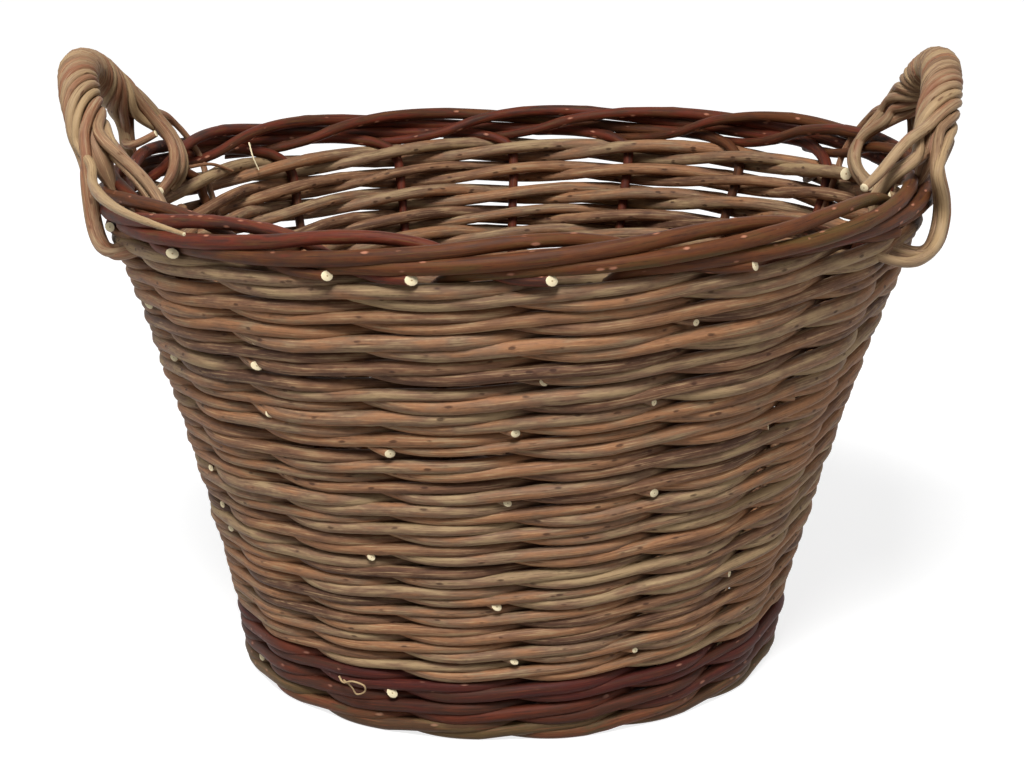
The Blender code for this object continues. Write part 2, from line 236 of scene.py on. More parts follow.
class Reading:
    """A number that changes over the bark, used in plain sums that add their own Math nodes."""

    def __init__(self, bench, socket):
        self.bench = bench
        self.socket = socket

    def worked(self, operation, first, second):
        made = self.bench.node("ShaderNodeMath", {"operation": operation}, n0=first, n1=second)
        return Reading(self.bench, made.outputs[0])

    def __add__(self, other):
        return self.worked("ADD", self, other)

    def __sub__(self, other):
        return self.worked("SUBTRACT", self, other)

    def __rsub__(self, other):
        return self.worked("SUBTRACT", other, self)

    def __mul__(self, other):
        return self.worked("MULTIPLY", self, other)

    __radd__ = __add__
    __rmul__ = __mul__

    def eased(self, low, high):
        """From 0 below low to 1 above high."""
        made = self.bench.node("ShaderNodeMapRange", {"interpolation_type": "SMOOTHSTEP"},
                               Value=self, From_Min=low, From_Max=high)
        return Reading(self.bench, made.outputs["Result"])


def rod_shaper():
    """The tree that grows a round rod on each line, slants its cut ends and marks its bark."""
    tree = bpy.data.node_groups.new("round willow rods", "GeometryNodeTree")
    tree.interface.new_socket("Lines", in_out="INPUT", socket_type="NodeSocketGeometry")
    for name, kind in (("Sides", "NodeSocketInt"), ("Fullness", "NodeSocketFloat"),
                       ("Bark", "NodeSocketMaterial")):
        tree.interface.new_socket(name, in_out="INPUT", socket_type=kind)
    tree.interface.new_socket("Rods", in_out="OUTPUT", socket_type="NodeSocketGeometry")
    bench = Bench(tree)

    def kept(geometry, name, value):
        made = bench.node("GeometryNodeStoreNamedAttribute",
                          {"data_type": "FLOAT_VECTOR", "domain": "POINT"},
                          Geometry=geometry, Name=name, Value=value)
        return made.outputs["Geometry"]

    def known(name, kind="FLOAT_VECTOR"):
        made = bench.node("GeometryNodeInputNamedAttribute", {"data_type": kind}, Name=name)
        return made.outputs["Attribute"]

    given = bench.node("NodeGroupInput")
    spot = bench.node("GeometryNodeInputPosition").outputs["Position"]
    ahead = bench.node("GeometryNodeInputTangent").outputs["Tangent"]
    lines = bench.node("GeometryNodeMeshToCurve", Mesh=given.outputs["Lines"])
    cores = kept(kept(lines.outputs["Curve"], "core", spot), "ahead", ahead)
    circle = bench.node("GeometryNodeCurvePrimitiveCircle", Resolution=given.outputs["Sides"],
                        Radius=1.0)
    half = bench.node("ShaderNodeMath", {"operation": "MULTIPLY"}, n0=known("thick", "FLOAT"),
                      n1=given.outputs["Fullness"])
    skin = bench.node("GeometryNodeCurveToMesh", Curve=cores, Scale=half.outputs[0], Fill_Caps=True,
                      Profile_Curve=kept(circle.outputs["Curve"], "ring", spot))
    off_core = bench.node("ShaderNodeVectorMath", {"operation": "SUBTRACT"}, n0=spot,
                          n1=known("core"))
    slide = bench.node("ShaderNodeVectorMath", {"operation": "DOT_PRODUCT"},
                       n0=off_core.outputs["Vector"], n1=known("slant"))
    slid = bench.node("ShaderNodeVectorMath", {"operation": "SCALE"}, n0=known("ahead"),
                      Scale=slide.outputs["Value"])
    cut = bench.node("GeometryNodeSetPosition", Geometry=skin.outputs["Mesh"],
                     Offset=slid.outputs["Vector"])
    for name in ("core", "ahead", "slant"):
        cut = bench.node("GeometryNodeRemoveAttribute", Geometry=cut.outputs["Geometry"], Name=name)
    smooth = bench.node("GeometryNodeSetShadeSmooth", Geometry=cut.outputs["Geometry"],
                        Shade_Smooth=True)
    real = bench.node("GeometryNodeRealizeInstances", Geometry=smooth.outputs["Geometry"])
    barked = bench.node("GeometryNodeSetMaterial", Geometry=real.outputs["Geometry"],
                        Material=given.outputs["Bark"])
    bench.node("NodeGroupOutput", Rods=barked.outputs["Geometry"])
    return tree


round_rods = rod_shaper()
sharp_from = 50.0  # degrees: the edge of a cut end is sharper, the rod's own facets are not


def grow(name, rods, bark, slot, *nodes, sides=12):
    """Turn rods into one piece of the basket that stands for its solids."""
    mesh = bpy.data.meshes.new(name)
    lines = [each["line"] for each in rods]
    starts = np.cumsum([0] + [len(line) for line in lines])
    edges = np.concatenate([np.stack([np.arange(a, b - 1), np.arange(a + 1, b)], axis=1)
                            for a, b in zip(starts, starts[1:])])
    mesh.from_pydata(np.concatenate(lines).tolist(), edges.tolist(), [])
    for each in rods:
        each["mark"] = np.full(len(each["line"]), each["mark"])
    for key in ("thick", "fresh", "along", "mark"):
        values = np.concatenate([each[key] for each in rods]).astype(np.float32)
        mesh.attributes.new(key, "FLOAT", "POINT").data.foreach_set("value", values)
    values = np.concatenate([each["slant"] for each in rods]).astype(np.float32)
    mesh.attributes.new("slant", "FLOAT_VECTOR", "POINT").data.foreach_set("vector", values.ravel())
    piece = bpy.data.objects.new(name, mesh)
    bpy.context.collection.objects.link(piece)
    maker = piece.modifiers.new("round rods", "NODES")
    maker.node_group = round_rods
    inputs = {item.name: item.identifier for item in round_rods.interface.items_tree
              if item.item_type == "SOCKET" and item.in_out == "INPUT"}
    maker[inputs["Sides"]] = sides
    maker[inputs["Fullness"]] = 0.5
    maker[inputs["Bark"]] = bark
    piece.update_tag()
    graph = bpy.context.evaluated_depsgraph_get()
    grown = bpy.data.meshes.new_from_object(piece.evaluated_get(graph))
    piece.modifiers.clear()
    piece.data = grown
    bpy.data.meshes.remove(mesh)
    grown.name = name
    grown.set_sharp_from_angle(angle=math.radians(sharp_from))
    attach(piece, "root")
    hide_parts(*nodes)


def seen(*colour):
    """A colour as it looks on a screen, from 0 to 255, in the light that the shader works in."""
    return tuple((part / 255.0 / 12.92) if part <= 10 else ((part / 255.0 + 0.055) / 1.055) ** 2.4
                 for part in colour)


bare_wood = seen(236, 220, 182)
pith = seen(168, 138, 98)
film_amount, light_amount, shade_amount, scar_amount = 0.55, 0.50, 0.70, 0.75
bark_shine = 0.15


def willow_bark(name, tones, shade, film, gloss, scars, scar_tone):
    """Willow bark: each rod its own tone, long streaks, a pale film, bud scars, a pale cut."""
    material = bpy.data.materials.new(name)
    material.use_nodes = True
    material.node_tree.nodes.clear()
    bench = Bench(material.node_tree)

    def attribute(key, output="Fac"):
        made = bench.node("ShaderNodeAttribute", {"attribute_name": key})
        return Reading(bench, made.outputs[output])

    mark, along, fresh = attribute("mark"), attribute("along"), attribute("fresh")
    ring = bench.node("ShaderNodeSeparateXYZ", Vector=attribute("ring", "Vector"))
    side, top = Reading(bench, ring.outputs["X"]), Reading(bench, ring.outputs["Y"])

    def bark_place(round_pace, long_pace, start):
        return bench.node("ShaderNodeCombineXYZ", X=side * round_pace, Y=top * round_pace,
                          Z=along * long_pace + mark * start).outputs[0]

    def blotches(round_pace, long_pace, start, detail=2.0):
        made = bench.node("ShaderNodeTexNoise", {"noise_dimensions": "3D"}, Scale=1.0,
                          Detail=detail, Roughness=0.55,
                          Vector=bark_place(round_pace, long_pace, start))
        return Reading(bench, made.outputs["Fac"]) - 0.5

    drift = blotches(0.35, 8.0, 317.0)
    patches = blotches(0.9, 46.0, 911.0, 3.0)
    streaks = blotches(4.2, 30.0, 733.0, 3.0)
    fibres = blotches(11.0, 75.0, 533.0, 3.0)
    mottle = blotches(2.4, 260.0, 203.0, 3.0)
    stops = [(index / (len(tones) - 1), tone) for index, tone in enumerate(tones)]
    band = bench.node("ShaderNodeValToRGB", {"stops": stops},
                      Fac=mark * 0.9 + drift * 1.1 + patches + 0.05)

    spots = bench.node("ShaderNodeTexVoronoi", {"feature": "F1", "voronoi_dimensions": "3D"},
                       Vector=bark_place(1.0, 105.0, 771.0), Scale=1.0, Randomness=1.0)
    choice = bench.node("ShaderNodeSeparateColor", Color=spots.outputs["Color"])
    chosen = 1.0 - Reading(bench, choice.outputs[0]).eased(scars, scars + 0.02)
    spot_from = Reading(bench, spots.outputs["Distance"]) + mottle * 0.22
    scar = (1.0 - spot_from.eased(0.12, 0.30)) * chosen
    scar_rim = (1.0 - spot_from.eased(0.26, 0.42)) * chosen

    def stained(below, colour, amount):
        made = bench.node("ShaderNodeMix", {"data_type": "RGBA", "blend_type": "MIX"},
                          n0=amount, n6=below, n7=(*colour, 1.0))
        return made.outputs[2]

    light = tuple(min(1.0, part * 1.55) for part in tones[-1])
    weather = streaks * 1.1 + fibres * 0.9 + mottle * 0.35
    filmed = (patches + streaks * 0.8).eased(0.02, 0.24) * film_amount
    colour = stained(band.outputs["Color"], film, filmed)
    colour = stained(colour, light, weather.eased(0.03, 0.36) * light_amount)
    colour = stained(colour, shade, (0.0 - weather).eased(0.03, 0.36) * shade_amount)
    colour = stained(colour, scar_tone, scar * scar_amount)
    colour = stained(colour, bare_wood, fresh.eased(0.45, 0.60))
    colour = stained(colour, pith, fresh.eased(1.45, 1.85))

    height = streaks * 0.35 + fibres * 0.40 + mottle * 0.25 + scar_rim * 0.5 - scar * 0.6
    bump = bench.node("ShaderNodeBump", Strength=0.50, Distance=0.0006, Height=height)
    dullness = gloss + fibres * 0.3 + patches * 0.15 + fresh.eased(0.4, 0.6) * 0.25
    shader = bench.node("ShaderNodeBsdfPrincipled", Base_Color=colour, Roughness=dullness,
                        Normal=bump.outputs["Normal"])
    shader.inputs["Specular IOR Level"].default_value = bark_shine
    bench.node("ShaderNodeOutputMaterial", Surface=shader.outputs["BSDF"])
    return material


stake_bark = willow_bark(
    "stake bark", [seen(58, 31, 23), seen(95, 39, 24), seen(68, 39, 24), seen(90, 49, 25),
                   seen(78, 59, 28)],
    seen(28, 15, 11), seen(94, 52, 30), 0.60, 0.20, seen(182, 124, 98))

for stake in range(STAKES):
    dice = random.Random(17 + stake)
    start = place(stake, 0.0, 0.0)
    inward = np.array([heart[0], heart[1], 0.0]) - start
    inward /= np.linalg.norm(inward)
    floor_level = np.array([0.0, 0.0, stake_thick / 2.0])
    knots = [start + inward * butt_reach + floor_level,
             start + inward * butt_reach / 2.0 + floor_level,
             start + inward * butt_bend + floor_level * 1.15, place(stake, 0.0, upright_from)]
    for height in np.linspace(straight_from, rim_height - straight_below_rim, 7):
        knots.append(place(stake + dice.uniform(-stake_drift, stake_drift), 0.0, height))
    beside = stake_thick / 2.0 + border_thick / 2.0 + border_gap
    rise = dice.uniform(-border_wobble, border_wobble)
    end_step = border_ends.get(stake, stake + dice.uniform(*border_reach))
    for on, out, up in border_lay:
        on = min(on, lay_bent) + max(0.0, on - lay_bent) * (end_step - stake - lay_bent) / lay_rest
        round_wall = (stake + on) % STAKES
        lift = border_lift * sum(math.exp(-(round_wall - spot) ** 2 / 1.6) for spot in lifted_at)
        up += lift * min(1.0, on / 0.45) + rise * math.sin(on * math.pi / lay_length)
        knots.append(place(stake + on, out * beside, rim_height + up))
    line = supple(knots, spacing=0.0040)
    share = np.linspace(0.0, 1.0, len(line))
    swollen = np.clip((share - border_from) * border_swell, 0.0, 1.0)
    tapered = np.clip((share - tip_from) / 0.28, 0.0, 1.0)
    thick = stake_thick + (border_thick - stake_thick) * swollen
    thick = thick * dice.uniform(*stake_variety) * (1.0 - tip_thinner * tapered)
    thick = knuckled(line, thick, dice)
    line[:, 2] = np.maximum(line[:, 2], thick / 2.0)
    cut = (facing_out(end_step, 0.3), dice.uniform(0.6, 1.1))
    name = f"stake_{stake + 1:02d}"
    grow(f"{name}_rod", [rod(line, thick, dice.random(), None, cut)], stake_bark,
         "stake_willow", name)


# The wall: brown willow rods woven in three-rod wale, eighteen courses on top of three darker ones
# at the foot. In each course three rods take turns, in front of two stakes and behind the third.
# Where a rod runs out a new one is laid in beside it, and the old end is left standing out.
COURSES = 21
FOOT_COURSES = 3
EVEN_COURSES = 14  # the courses below this one are woven a little more evenly
wale_inside = 0.0002
rods_to_height = 0.544
foot_rods_to_height = 0.580
wale_variety = (0.90, 1.11)
wave_share, flat_share = 0.69, 0.31
twist_height = 0.275
lead_in, lead_out = 0.60, 0.36  # how far from its ends a rod slips in behind, and stands out
points_a_stake = 19
ends_seen = {  # course counted from the floor, and how far round its rods end
    3: [7.41], 5: [9.59, 8.52], 8: [10.48, 8.37], 10: [7.37], 13: [8.45, 9.53], 15: [7.64, 10.45],
    16: [6.71, 10.67, 8.50], 17: [9.41], 18: [6.71, 8.67], 19: [6.76], 20: [9.59]}
loop = 3 * STAKES


def rod_ends(course, dice):
    """Where the course's rods end, in stakes along the loop that goes three times round the wall."""
    found = []
    for step in ends_seen.get(course, []):
        behind = next(turn for turn in range(0, loop, 3) if turn % STAKES == int(step))
        found.append(behind + step - int(step))
    for _ in range(200):
        behind = 3 * dice.randrange(STAKES)
        in_view = 5 < behind % STAKES < 12
        clear = all(min((behind - other) % loop, (other - behind) % loop) > 8.0 for other in found)
        if len(found) < 3 and clear and not in_view:
            found.append(behind + dice.uniform(0.30, 0.60))
    return sorted(found)


def course_rods(course, node, dice):
    """All rods of one course, at the height of its solid."""
    low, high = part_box(node)
    middle, pitch = (low.z + high.z) / 2.0 + 0.0004, high.z - low.z
    loose = 0.7 if course < EVEN_COURSES else 1.0
    phases = [dice.uniform(0.0, 2.0 * math.pi) for _ in range(4)]
    ends = rod_ends(course, dice)
    rods = []
    for number, start in enumerate(ends):
        end = ends[(number + 1) % len(ends)]
        end += loop if end <= start else 0.0
        begin = math.floor(start) - 0.42
        steps = np.linspace(begin, end, int((end - begin) * points_a_stake))
        mean = foot_rods_to_height if course <= FOOT_COURSES else rods_to_height
        mean = mean * pitch * dice.uniform(*wale_variety)
        inside = (stake_thick + mean) / 2.0 + wale_inside
        wave, flat = wave_share * inside / 0.75, flat_share * inside / 0.75
        turn = 2.0 * math.pi * steps / 3.0
        out = wave + flat - inside - wave * np.cos(turn) - flat * np.cos(2.0 * turn)
        up = -twist_height * pitch * np.sin(turn)
        out = out + wander(steps, dice, 0.0006, 0.9)
        at_back = 0.5 + 0.5 * np.cos(steps * STAKE_STEP)
        up = up + wander(steps, dice, 0.0009, 1.3) * loose * (0.5 + at_back)
        entering = np.clip((begin + lead_in - steps) / lead_in, 0.0, 1.0)
        out = out - entering ** 2 * mean * 1.1
        leaving = np.clip((steps - end + lead_out) / lead_out, 0.0, 1.0) ** 1.6
        out = out * (1.0 - leaving) + leaving * dice.uniform(0.0072, 0.0092)
        up = up * (1.0 - leaving) - leaving * dice.uniform(0.34, 0.40) * pitch
        for part, phase in enumerate(phases, 1):
            up = up + 0.0008 * loose / part * np.sin(part * steps * STAKE_STEP + phase)
        line = place(steps, out, middle + up)
        thin = dice.uniform(0.45, 0.72)
        thick = mean * np.interp(steps, [begin, end - 5.0, end - 0.6, end],
                                 [1.05, 0.98, 0.88, thin])
        thick = knuckled(line, thick, dice)
        line[:, 2] = np.maximum(line[:, 2], thick / 2.0)
        cut = (facing_out(end % STAKES, dice.uniform(0.0, 0.6)), dice.uniform(0.5, 1.2))
        rods.append(rod(line, thick, dice.random(), None, cut))
    return rods


wall_bark = willow_bark(
    "wall bark", [seen(82, 56, 42), seen(120, 86, 64), seen(148, 104, 72), seen(120, 92, 72),
                  seen(158, 132, 98)],
    seen(58, 38, 26), seen(146, 124, 94), 0.62, 0.20, seen(50, 28, 20))
foot_bark = willow_bark(
    "foot bark", [seen(51, 21, 18), seen(69, 26, 20), seen(60, 34, 22), seen(86, 38, 22)],
    seen(25, 12, 10), seen(76, 41, 28), 0.60, 0.14, seen(150, 104, 86))
low_bark = willow_bark(
    "lowest foot bark", [seen(78, 54, 36), seen(90, 70, 42), seen(80, 62, 40), seen(108, 54, 34)],
    seen(42, 28, 20), seen(108, 88, 58), 0.60, 0.14, seen(150, 110, 86))

shoots = {  # by course, a thin side shoot or a curl of torn bark: its places, thickness, bareness
    3: [([(6.90, 0.0125, 0.0345), (6.97, 0.0152, 0.0335), (7.10, 0.0168, 0.0370),
          (7.20, 0.0160, 0.0350), (7.19, 0.0150, 0.0305), (7.09, 0.0146, 0.0270),
          (7.06, 0.0152, 0.0315), (6.98, 0.0150, 0.0350)], 0.0012, 1.75)],
    21: [([(3.30, -0.0100, 0.2880), (2.97, -0.0118, 0.2855), (2.75, -0.0122, 0.2785)], 0.0026, 0.0),
         ([(2.43, -0.0085, 0.2945), (2.46, -0.0112, 0.2845), (2.43, -0.0108, 0.2760)], 0.0012, 0.6)]}

for course in range(1, COURSES + 1):
    if course <= FOOT_COURSES:
        node, slot = f"foot_course_{course:02d}", "foot_willow"
        bark = low_bark if course == 1 else foot_bark
    else:
        node, slot, bark = f"wall_course_{course - FOOT_COURSES:02d}", "wall_willow", wall_bark
    rods = course_rods(course, node, random.Random(100 + course))
    for places, thick, pale in shoots.get(course, []):
        line = supple([place(*spot) for spot in places], spacing=0.0012)
        rods.append(rod(line, thick * np.linspace(1.0, 0.7, len(line)), 0.6))  # thinner to its tip
        rods[-1]["fresh"] = np.maximum(rods[-1]["fresh"], pale)
    grow(f"{node}_rods", rods, bark, slot, node)


# The base: three slit sticks with three more pushed through the slits, fanned out into a star, and
# two rods woven out round them, over one stick and under the next. It sits on the stakes' butts.
STICKS_EACH_WAY = 3
spokes = 4 * STICKS_EACH_WAY
slath_reach = 0.0200  # how far the sticks lie side by side before they fan out
first_turn = 0.0360
weaver_thick = 0.0070
weaver_step = 0.00757
stick_thick = 0.0070
slit_swelling, through_swelling = 0.45, -0.05
stick_low, stick_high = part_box("base_stick_2")
stick_level = (stick_low.z + stick_high.z) / 2.0
base_reach = (stick_high.y - stick_low.y) / 2.0
base_heart = heart - np.array([hand_lean * lean_middle, 0.0])


def spoke_place(spoke, radius, up):
    """A place on a base stick, and between two of them where the number is not whole."""
    whole = math.floor(spoke)
    part = spoke - whole
    found = []
    for number in (whole, whole + 1):
        group, seat = divmod(number % spokes, STICKS_EACH_WAY)
        middle = group * math.pi / 2.0
        fan = middle + (seat - 1.0) * 2.0 * math.pi / spokes
        tip = np.array([math.cos(fan), math.sin(fan)]) * base_reach
        knee = np.array([math.cos(middle), math.sin(middle)]) * slath_reach
        sideways = np.array([-math.sin(middle), math.cos(middle)])
        knee = knee + sideways * (seat - 1.0) * stick_thick * 1.2
        share = (radius - slath_reach) / (base_reach - slath_reach)
        spot = knee + (tip - knee) * share
        found.append(math.atan2(spot[1], spot[0]))
    turn = (found[1] - found[0] + math.pi) % (2.0 * math.pi) - math.pi
    angle = found[0] + turn * part
    return np.array([base_heart[0] + radius * math.cos(angle),
                     base_heart[1] + radius * math.sin(angle), stick_level + up])


base_bark = willow_bark(
    "base bark", [seen(96, 64, 46), seen(122, 88, 62), seen(140, 104, 74), seen(118, 92, 66)],
    seen(60, 40, 30), seen(140, 118, 98), 0.52, 0.16, seen(62, 38, 28))
dice = random.Random(5)
for group in range(2):
    for seat in range(STICKS_EACH_WAY):
        near = group * STICKS_EACH_WAY + seat
        far = (group + 2) * STICKS_EACH_WAY + (2 - seat)
        reaches = (base_reach, base_reach * 0.5, slath_reach)
        ends = [spoke_place(near, reach, 0.0) for reach in reaches]
        ends += [spoke_place(far, reach, 0.0) for reach in reaches[::-1]]
        line = supple(ends, spacing=0.0060)
        by_middle = np.exp(-(np.linspace(-1.0, 1.0, len(line)) / 0.16) ** 2)
        swollen = stick_thick * (
            1.0 + (slit_swelling if group == 0 else through_swelling) * by_middle)
        node = f"base_slit_stick_{seat + 1}" if group == 0 else f"base_stick_{seat + 1}"
        grow(f"{node}_rod", [rod(line, swollen, dice.random())], base_bark, "base_willow", node)
for weaver in range(2):
    start = first_turn + weaver * weaver_step
    turns = (base_reach - weaver_thick / 2.0 - start) / (2.0 * weaver_step)
    count = np.arange(0.0, turns * spokes, 0.2)
    line = np.array([spoke_place(number, start + 2.0 * weaver_step * number / spokes,
                                 (1.0 if weaver == 0 else -1.0) * math.cos(math.pi * number)
                                 * (stick_thick + weaver_thick) * 0.49) for number in count])
    line[:, 2] = np.maximum(line[:, 2], weaver_thick * 0.56)
    thick = knuckled(line, weaver_thick, dice)
    grow(f"base_weaver_{weaver + 1}_rod", [rod(line, thick, dice.random())], base_bark,
         "base_willow", f"base_weaver_{weaver + 1}")


# The handles: on each side a bow of willow pushed down into the wall beside two stakes, with eight
# thinner rods roped round it. At each foot the rods part, go down over the border on both sides and
# are threaded in under it. The bows lean out, and their back feet are drawn in to the front.
bow_thick = 0.0148
rope_thick = 0.0068
rope_middle_thick = 0.0048
ROPE_BUNDLES = 4
ROPE_TURNS = 3.0
handle_rise = {"left": 0.0498, "right": 0.0455}
handle_lean = {"left": 0.0237, "right": 0.0146}
bow_foot_thick = 0.0042
leg_share = -0.09  # each leg stands this many stakes off its own
back_foot_share = 0.56  # and the back foot this many in front of its leg
pinch = 0.28  # how much narrower the bow is at the top
splay_share = 0.17
foot_above_rim = 0.0164
stem_heights = (0.236, 0.256, 0.276, 0.294)
bow_swells_above = {"back": 0.020, "front": 0.002}
bow_swell_length = 0.016
peel = {"back": 0.12, "front": 0.09}  # the shares of the bow at its feet that the rope leaves bare
tight_middle = 0.50  # the rope turns this much more at the top of the bow, and less at its feet
rope_variety = (0.92, 1.08)
rope_tip_thinner = 0.28
loose_tip_thinner = 0.55
seat_spread, curled_spread = 0.14, 0.12  # how far apart the two rods of a pair end, in stakes
nearer_spread, farther_spread = 0.12, -0.06
seat_out, seat_up = 0.16, 0.0016
easing_rounds = 10
tails = {  # how many stakes in front of the leg, how far out, how far above the rim
    "left": {
        "front outside": [(0.06, 0.0100, 0.0180), (0.10, 0.0152, 0.0020), (0.12, 0.0188, -0.0110),
                          (0.26, 0.0196, -0.0200), (0.50, 0.0150, -0.0215), (0.62, 0.0040, -0.0200)],
        "front inside": [(0.16, -0.0110, 0.0180), (0.34, -0.0150, 0.0080), (0.50, -0.0158, -0.0040),
                         (0.58, -0.0140, -0.0140), (0.60, -0.0030, -0.0185)],
        "front loose": [(0.12, 0.0055, 0.0205), (0.30, 0.0092, 0.0150), (0.60, 0.0116, 0.0118),
                        (1.09, 0.0142, 0.0100), (1.62, 0.0150, 0.0068)],
        "back curled": [(0.60, -0.0110, 0.0195), (0.54, -0.0150, 0.0060), (0.66, -0.0160, -0.0060),
                        (0.84, -0.0160, -0.0125), (1.14, -0.0150, -0.0165)],
        "back inside": [(0.52, -0.0105, 0.0190), (0.50, -0.0150, 0.0070), (0.56, -0.0165, -0.0060),
                        (0.66, -0.0150, -0.0150), (0.70, -0.0030, -0.0185)],
        "back outside": [(0.70, 0.0100, 0.0170), (0.64, 0.0160, 0.0020), (0.58, 0.0165, -0.0110),
                         (0.54, 0.0090, -0.0175), (0.50, 0.0010, -0.0180)],
        "back loose": [(0.66, 0.0110, 0.0170), (0.80, 0.0060, 0.0128), (0.82, -0.0040, 0.0120),
                       (0.81, -0.0150, 0.0140)]},
    "right": {
        "front outside": [(0.20, 0.0095, 0.0150), (0.09, 0.0160, 0.0040), (-0.02, 0.0200, -0.0070),
                          (0.02, 0.0235, -0.0180), (0.22, 0.0235, -0.0240), (0.48, 0.0180, -0.0250),
                          (0.64, 0.0000, -0.0220)],
        "front inside": [(0.25, -0.0040, 0.0180), (0.32, -0.0130, 0.0090), (0.38, -0.0155, -0.0050),
                         (0.42, -0.0145, -0.0150), (0.42, -0.0030, -0.0185)],
        "front loose": [(0.33, -0.0125, 0.0240), (0.44, -0.0135, 0.0150), (0.60, -0.0135, 0.0085),
                        (0.80, -0.0125, 0.0050)],
        "back curled": [(0.68, -0.0095, 0.0200), (0.49, -0.0150, 0.0080), (0.41, -0.0160, -0.0010),
                        (0.49, -0.0165, -0.0100), (0.76, -0.0160, -0.0170), (1.01, -0.0155, -0.0195)],
        "back inside": [(0.52, -0.0105, 0.0190), (0.46, -0.0150, 0.0070), (0.50, -0.0165, -0.0060),
                        (0.60, -0.0150, -0.0150), (0.66, -0.0030, -0.0185)],
        "back outside": [(0.70, 0.0100, 0.0170), (0.64, 0.0160, 0.0020), (0.58, 0.0165, -0.0110),
                         (0.54, 0.0090, -0.0175), (0.50, 0.0010, -0.0180)],
        "back loose": [(0.74, 0.0100, 0.0170), (0.70, 0.0160, 0.0020), (0.66, 0.0165, -0.0110),
                       (0.62, 0.0090, -0.0175), (0.60, 0.0010, -0.0180)]}}
handle_bark = willow_bark(
    "handle bark", [seen(118, 90, 67), seen(138, 110, 83), seen(130, 86, 62), seen(147, 120, 92),
                    seen(160, 133, 98)],
    seen(80, 54, 38), seen(160, 138, 110), 0.54, 0.14, seen(86, 54, 36))


